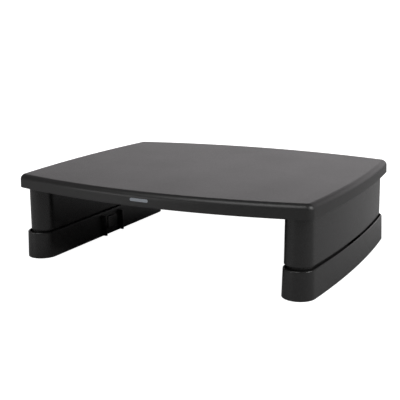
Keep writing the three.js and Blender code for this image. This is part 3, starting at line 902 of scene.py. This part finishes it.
RUBBER = {"cloud": 0.002, "fine": 0.00025, "dark": 0.016, "light": 0.034, "depth": 0.00008}
RUBBER_RELIEF = 0.8
RUBBER_ROUGHNESS = (0.72, 0.92)
STEEL = {"cloud": 0.0012, "fine": 0.00015, "dark": 0.85, "depth": 0.00001}
STEEL_RELIEF = 0.5
STEEL_ROUGHNESS = {"less": 0.08, "more": 0.1}
INK = {"fine": 0.0003, "dark": 0.24, "light": 0.42, "depth": 0.00002}
INK_TINT = (0.92, 1.0, 1.1)
INK_RELIEF = 0.4
INK_PATCHES = (0.35, 0.6)
INK_ROUGHNESS = (0.4, 0.6)

# Characters of noise, and the parts of its range that are used.
CLOUDY = {"detail": 3.0, "roughness": 0.6}
FLOWING = {"detail": 3.0, "roughness": 0.55}
FINE = {"detail": 2.0, "roughness": 0.6}
SPECKLED = {"detail": 1.0, "roughness": 0.5}
MIDDLE_RANGE = (0.35, 0.65)
WIDE_RANGE = (0.3, 0.7)
WHOLE = (0.0, 1.0)

EDGE_SAMPLES = 6
EDGE_COSINES = (0.985, 0.90)  # between a face and its rounded edge: where wear starts and is full
MIX_SOCKETS = {"Factor": 0, "A": 6, "B": 7}  # the colour sockets of a Mix node
MIX_RESULT = 2


def feed(tree, socket, value):
    """Links an output to a socket, or sets the socket to a plain value."""
    if isinstance(value, bpy.types.NodeSocket):
        tree.links.new(value, socket)
    else:
        socket.default_value = value


def add_node(tree, kind, inputs=(), **settings):
    node = tree.nodes.new(kind)
    for key, value in settings.items():
        setattr(node, key, value)
    for key, value in dict(inputs).items():
        feed(tree, node.inputs[key], value)
    return node


class Nodes:
    """Short calls for building one material's node tree."""

    def __init__(self, name):
        self.material = bpy.data.materials.new(name)
        self.material.use_nodes = True
        self.tree = self.material.node_tree
        self.shader = self.tree.nodes["Principled BSDF"]
        self.place = self.add("ShaderNodeTexCoord").outputs["Object"]

    def add(self, kind, inputs=(), **settings):
        return add_node(self.tree, kind, inputs, **settings)

    def noise(self, size, detail, roughness):
        """Noise with features about size metres across."""
        inputs = {"Vector": self.place, "Scale": 1 / size, "Detail": detail, "Roughness": roughness}
        return self.add("ShaderNodeTexNoise", inputs).outputs["Fac"]

    def spread(self, value, source, target=WHOLE):
        """Maps a value from one range to another, clamped."""
        inputs = {
            "Value": value,
            "From Min": source[0],
            "From Max": source[1],
            "To Min": target[0],
            "To Max": target[1],
        }
        return self.add("ShaderNodeMapRange", inputs).outputs["Result"]

    def math(self, operation, first, second):
        node = self.add("ShaderNodeMath", {0: first, 1: second}, operation=operation)
        return node.outputs["Value"]

    def mix(self, share, first, second):
        node = self.add("ShaderNodeMix", data_type="RGBA")
        for key, value in {"Factor": share, "A": first, "B": second}.items():
            feed(self.tree, node.inputs[MIX_SOCKETS[key]], value)
        return node.outputs[MIX_RESULT]

    def edges(self, radius):
        """0 on flat faces, rising to 1 on edges, over radius metres."""
        bevel = self.add("ShaderNodeBevel", {"Radius": radius}, samples=EDGE_SAMPLES)
        plain = self.add("ShaderNodeNewGeometry").outputs["Normal"]
        both = {0: bevel.outputs["Normal"], 1: plain}
        same = self.add("ShaderNodeVectorMath", both, operation="DOT_PRODUCT").outputs["Value"]
        return self.spread(same, EDGE_COSINES)

    def bump(self, height, distance, strength=1.0, normal=None):
        inputs = {"Height": height, "Distance": distance, "Strength": strength}
        if normal is not None:
            inputs["Normal"] = normal
        return self.add("ShaderNodeBump", inputs).outputs["Normal"]

    def set(self, **values):
        for key, value in values.items():
            feed(self.tree, self.shader.inputs[key.replace("_", " ")], value)


def grey(level, tint=(1.0, 1.0, 1.0)):
    return (level * tint[0], level * tint[1], level * tint[2], 1.0)


def moulded_plastic(name, level, roughness, grain, grain_depth):
    """Black moulded plastic: spark-eroded grain, faint flow marks and rubbed edges."""
    n = Nodes(name)
    flow = n.noise(FLOW["size"], **FLOWING)
    mottle = n.noise(MOTTLE_SIZE, **CLOUDY)
    fine = n.noise(grain, **FINE)
    speck = n.noise(grain * SPECK_SHARE, **SPECKLED)
    dark, light, worn = [grey(level * tone, PLASTIC_TINT) for tone in PLASTIC_TONES.values()]
    tone = n.math("MULTIPLY", mottle, MOTTLE_SHARE)
    tone = n.math("ADD", tone, n.math("MULTIPLY", fine, 1 - MOTTLE_SHARE))
    colour = n.mix(n.spread(tone, MIDDLE_RANGE), dark, light)
    patches = n.spread(mottle, WEAR_PATCHES["noise"], WEAR_PATCHES["share"])
    edge = n.math("MULTIPLY", n.edges(WEAR["width"]), patches)
    colour = n.mix(n.math("MULTIPLY", edge, WEAR["share"]), colour, worn)
    rough = n.spread(flow, WIDE_RANGE, (-FLOW["gloss"], FLOW["gloss"]))
    rough = n.math("ADD", rough, roughness)
    rough = n.math("ADD", rough, n.spread(fine, WIDE_RANGE, (-GRAIN_GLOSS, GRAIN_GLOSS)))
    rough = n.math("SUBTRACT", rough, n.math("MULTIPLY", edge, WEAR["gloss"]))
    soft = n.bump(flow, FLOW["depth"], FLOW["strength"])
    relief = n.math("MULTIPLY", fine, GRAIN_SHARE)
    relief = n.math("ADD", relief, n.math("MULTIPLY", speck, 1 - GRAIN_SHARE))
    n.set(Base_Color=colour, Roughness=rough, Normal=n.bump(relief, grain_depth, 1.0, soft))
    n.set(Specular_IOR_Level=PLASTIC_SPECULAR)
    return n.material


def rubber(name):
    """Dull black rubber."""
    n = Nodes(name)
    cloud = n.noise(RUBBER["cloud"], **CLOUDY)
    fine = n.noise(RUBBER["fine"], **FINE)
    n.set(
        Base_Color=n.mix(
            n.spread(cloud, MIDDLE_RANGE), grey(RUBBER["dark"]), grey(RUBBER["light"])
        ),
        Roughness=n.spread(fine, WIDE_RANGE, RUBBER_ROUGHNESS),
        Normal=n.bump(fine, RUBBER["depth"], RUBBER_RELIEF),
    )
    return n.material


def steel(name, level, roughness):
    """Zinc-plated steel with a fine relief and dull spots."""
    n = Nodes(name)
    cloud = n.noise(STEEL["cloud"], **CLOUDY)
    fine = n.noise(STEEL["fine"], **FINE)
    dull = (roughness - STEEL_ROUGHNESS["less"], roughness + STEEL_ROUGHNESS["more"])
    n.set(
        Base_Color=n.mix(
            n.spread(cloud, MIDDLE_RANGE), grey(level * STEEL["dark"]), grey(level)
        ),
        Metallic=1.0,
        Roughness=n.spread(cloud, WIDE_RANGE, dull),
        Normal=n.bump(fine, STEEL["depth"], STEEL_RELIEF),
    )
    return n.material


def print_ink(name):
    """Pale silk-screened ink with a slightly broken surface."""
    n = Nodes(name)
    fine = n.noise(INK["fine"], **FINE)
    dark, light = grey(INK["dark"], INK_TINT), grey(INK["light"], INK_TINT)
    n.set(
        Base_Color=n.mix(n.spread(fine, INK_PATCHES), dark, light),
        Roughness=n.spread(fine, WIDE_RANGE, INK_ROUGHNESS),
        Normal=n.bump(fine, INK["depth"], INK_RELIEF),
    )
    return n.material


# ---- Assembly ----------------------------------------------------------------------------------


def finish_piece(piece, name, body, node, material):
    """Names a piece, shades it smooth, gives it its body and its material, and hides the CAD node
    it stands in for.
    """
    piece.name = name
    piece.data.name = name
    piece.data.materials.clear()
    piece.data.materials.append(material)
    smooth(piece)
    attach(piece, body)
    if node:
        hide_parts(node)


def both_sides(make, suffix, body_of_side, material):
    """Makes a right-hand piece and its mirror image."""
    right = make()
    left = mirrored(right, "left")
    for side, piece in (("right", right), ("left", left)):
        node = f"{side}_{suffix}"
        finish_piece(piece, f"{node}_detail", body_of_side[side], node, material)


def build_object():
    platform_plastic = moulded_plastic("platform_plastic", **PLATFORM_PLASTIC)
    leg_plastic = moulded_plastic("leg_plastic", **LEG_PLASTIC)
    button_plastic = moulded_plastic("button_plastic", **BUTTON_PLASTIC)
    bracket_plastic = moulded_plastic("bracket_plastic", **BRACKET_PLASTIC)
    foot_rubber = rubber("foot_rubber")
    spring_steel = steel("spring_steel", **SPRING_STEEL)
    screw_steel = steel("screw_steel", **SCREW_STEEL)

    on_platform = {"right": "platform", "left": "platform"}
    on_extension = {"right": "right_extension", "left": "left_extension"}
    on_button = {"right": "right_button", "left": "left_button"}

    top = make_platform()
    finish_piece(top, "platform_moulding", "platform", "platform", platform_plastic)
    both_sides(make_upper_leg, "upper_leg", on_platform, leg_plastic)
    both_sides(make_extension, "leg_extension", on_extension, leg_plastic)
    both_sides(make_button, "release_button", on_button, button_plastic)
    both_sides(make_spring, "button_spring", on_extension, spring_steel)
    let_springs_shorten()
    both_sides(make_bracket, "spring_bracket", on_extension, bracket_plastic)
    for side, body in on_extension.items():
        for end in ("front", "back"):
            node = f"{side}_{end}_rubber_foot"
            foot = make_foot(node)
            finish_piece(foot, f"{node}_detail", body, node, foot_rubber)
        for i in range(BRACKET_SCREWS):
            place_screw(f"{side}_bracket_screw_{i + 1}", body, BRACKET_SHANK, screw_steel)
        for i in range(LEG_SCREWS):
            place_screw(f"{side}_leg_screw_{i + 1}", "platform", LEG_SHANK, screw_steel)
    bar = make_print()
    finish_piece(bar, "rim_print_bar", "platform", None, print_ink("print_ink"))


def let_springs_shorten():
    """Gives each spring its own copy of its mesh."""
    for side, way in (("right", 1), ("left", -1)):
        spring = bpy.data.objects[f"{side}_button_spring_detail"]
        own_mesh(spring)


def place_screw(node, body, shank, material):
    low, high = node_box(node)
    middle = (low + high) / 2
    head = (high.x - low.x) / 2
    screw = make_screw(middle.x, middle.y, low.z, high.z, head, shank)
    finish_piece(screw, f"{node}_detail", body, node, material)


# ---- Stage, light and camera -------------------------------------------------------------------

# Sizes are in metres, and angles in degrees.
FLOOR_HALF = 30
FLOOR_PAPER = (0.49, 0.51)
FLOOR_ROUGHNESS = 0.9
FLOOR_GLOW = 1.0
PAPER_CLOUD = 0.5
PAPER_NOISE = {"detail": 2.0, "roughness": 0.5}
KEY_LIGHT = {"azimuth": -14, "elevation": 58, "width": 32, "strength": 1.0}
SIDE_LIGHT = {"azimuth": 95, "elevation": 32, "width": 34, "strength": 1.8}
FILL_LIGHT = {"azimuth": -38, "elevation": 4, "width": 24, "strength": 0.5}
BACKDROP_STRENGTH = 1.1
BACKDROP_TOP = (0.30, 0.42)  # sine of the elevation where it starts and stops fading
BACKDROP_AZIMUTH = 190  # as the lights' azimuths: 180 is straight behind the object
BACKDROP_SIDES = (0.6, 1.0)  # cosine of the angle away from it where it starts and is full
ROOM_STRENGTH = 0.12
ROOM_TINT = (1.0, 0.965, 0.982)
CAMERA_PLACE = (0.3776, -0.7237, 0.2428)
CAMERA_AZIMUTH = 28.28
CAMERA_ELEVATION = 13.20
CAMERA_ROLL = -0.66
CAMERA_LENS = 70.61  # millimetres, as the sensor
CAMERA_SENSOR = 36
CAMERA_CLIP = (0.01, 100)


def make_floor():
    """A plain pale floor, which looks lighter to the camera than the light it gives."""
    bm = bmesh.new()
    corners = [(-1, -1), (1, -1), (1, 1), (-1, 1)]
    reach = FLOOR_HALF / MM
    bm.faces.new([bm.verts.new((x * reach, y * reach, 0)) for x, y in corners])
    floor = new_object("floor", bm)
    n = Nodes("floor_paper")
    cloud = n.noise(PAPER_CLOUD, **PAPER_NOISE)
    seen = n.add("ShaderNodeLightPath").outputs["Is Camera Ray"]
    n.set(
        Base_Color=n.mix(cloud, grey(FLOOR_PAPER[0]), grey(FLOOR_PAPER[1])),
        Roughness=FLOOR_ROUGHNESS,
        Emission_Color=grey(1.0),
        Emission_Strength=n.math("MULTIPLY", seen, FLOOR_GLOW),
    )
    floor.data.materials.append(n.material)


def soft_light(name, azimuth, elevation, width, strength):
    """A distant round softbox. Azimuth 0 is in front, on the -Y side, and 90 is on the right."""
    data = bpy.data.lights.new(name, "SUN")
    data.energy = strength
    data.angle = math.radians(width)
    light = bpy.data.objects.new(name, data)
    turn, lift = math.radians(azimuth), math.radians(elevation)
    towards = Vector(
        (math.sin(turn) * math.cos(lift), -math.cos(turn) * math.cos(lift), math.sin(lift))
    )
    light.rotation_euler = towards.to_track_quat("Z", "Y").to_euler()
    bpy.context.scene.collection.objects.link(light)


def make_surroundings():
    """A dim room with a bright backdrop behind the object, low above the horizon."""
    world = bpy.data.worlds.new("studio")
    world.use_nodes = True
    tree = world.node_tree
    background = tree.nodes["Background"]

    def ramp(value, start, end):
        inputs = {"Value": value, "From Min": start, "From Max": end}
        return add_node(tree, "ShaderNodeMapRange", inputs).outputs["Result"]

    def math_of(operation, first, second):
        node = add_node(tree, "ShaderNodeMath", {0: first, 1: second}, operation=operation)
        return node.outputs["Value"]

    def vector(operation, *values):
        inputs = dict(enumerate(values))
        return add_node(tree, "ShaderNodeVectorMath", inputs, operation=operation).outputs

    direction = add_node(tree, "ShaderNodeTexCoord").outputs["Generated"]
    height = add_node(tree, "ShaderNodeSeparateXYZ", {0: direction}).outputs["Z"]
    low = ramp(height, BACKDROP_TOP[1], BACKDROP_TOP[0])
    turn = math.radians(BACKDROP_AZIMUTH)
    middle = (math.sin(turn), -math.cos(turn), 0)
    level = vector("NORMALIZE", vector("MULTIPLY", direction, (1, 1, 0))["Vector"])["Vector"]
    nearness = vector("DOT_PRODUCT", level, middle)["Value"]
    behind = ramp(nearness, BACKDROP_SIDES[0], BACKDROP_SIDES[1])
    backdrop = math_of("MULTIPLY", math_of("MULTIPLY", low, behind), BACKDROP_STRENGTH)
    seen = add_node(tree, "ShaderNodeLightPath").outputs["Is Camera Ray"]
    strength = math_of("ADD", math_of("ADD", backdrop, ROOM_STRENGTH), seen)
    feed(tree, background.inputs["Strength"], strength)
    feed(tree, background.inputs["Color"], grey(1.0, ROOM_TINT))
    bpy.context.scene.world = world


def make_camera():
    data = bpy.data.cameras.new("camera")
    data.lens = CAMERA_LENS
    data.sensor_width = CAMERA_SENSOR
    data.clip_start, data.clip_end = CAMERA_CLIP
    camera = bpy.data.objects.new("camera", data)
    yaw, pitch = math.radians(CAMERA_AZIMUTH), math.radians(CAMERA_ELEVATION)
    forward = Vector(
        (-math.sin(yaw) * math.cos(pitch), math.cos(yaw) * math.cos(pitch), -math.sin(pitch))
    )
    level = forward.to_track_quat("-Z", "Y").to_matrix().to_4x4()
    roll = Matrix.Rotation(math.radians(CAMERA_ROLL), 4, "Z")
    camera.matrix_world = Matrix.Translation(CAMERA_PLACE) @ level @ roll
    bpy.context.scene.collection.objects.link(camera)
    bpy.context.scene.camera = camera


build_object()
make_floor()
soft_light("key_light", **KEY_LIGHT)
soft_light("side_light", **SIDE_LIGHT)
soft_light("fill_light", **FILL_LIGHT)
make_surroundings()
make_camera()
bpy.context.scene.view_settings.view_transform = "Standard"
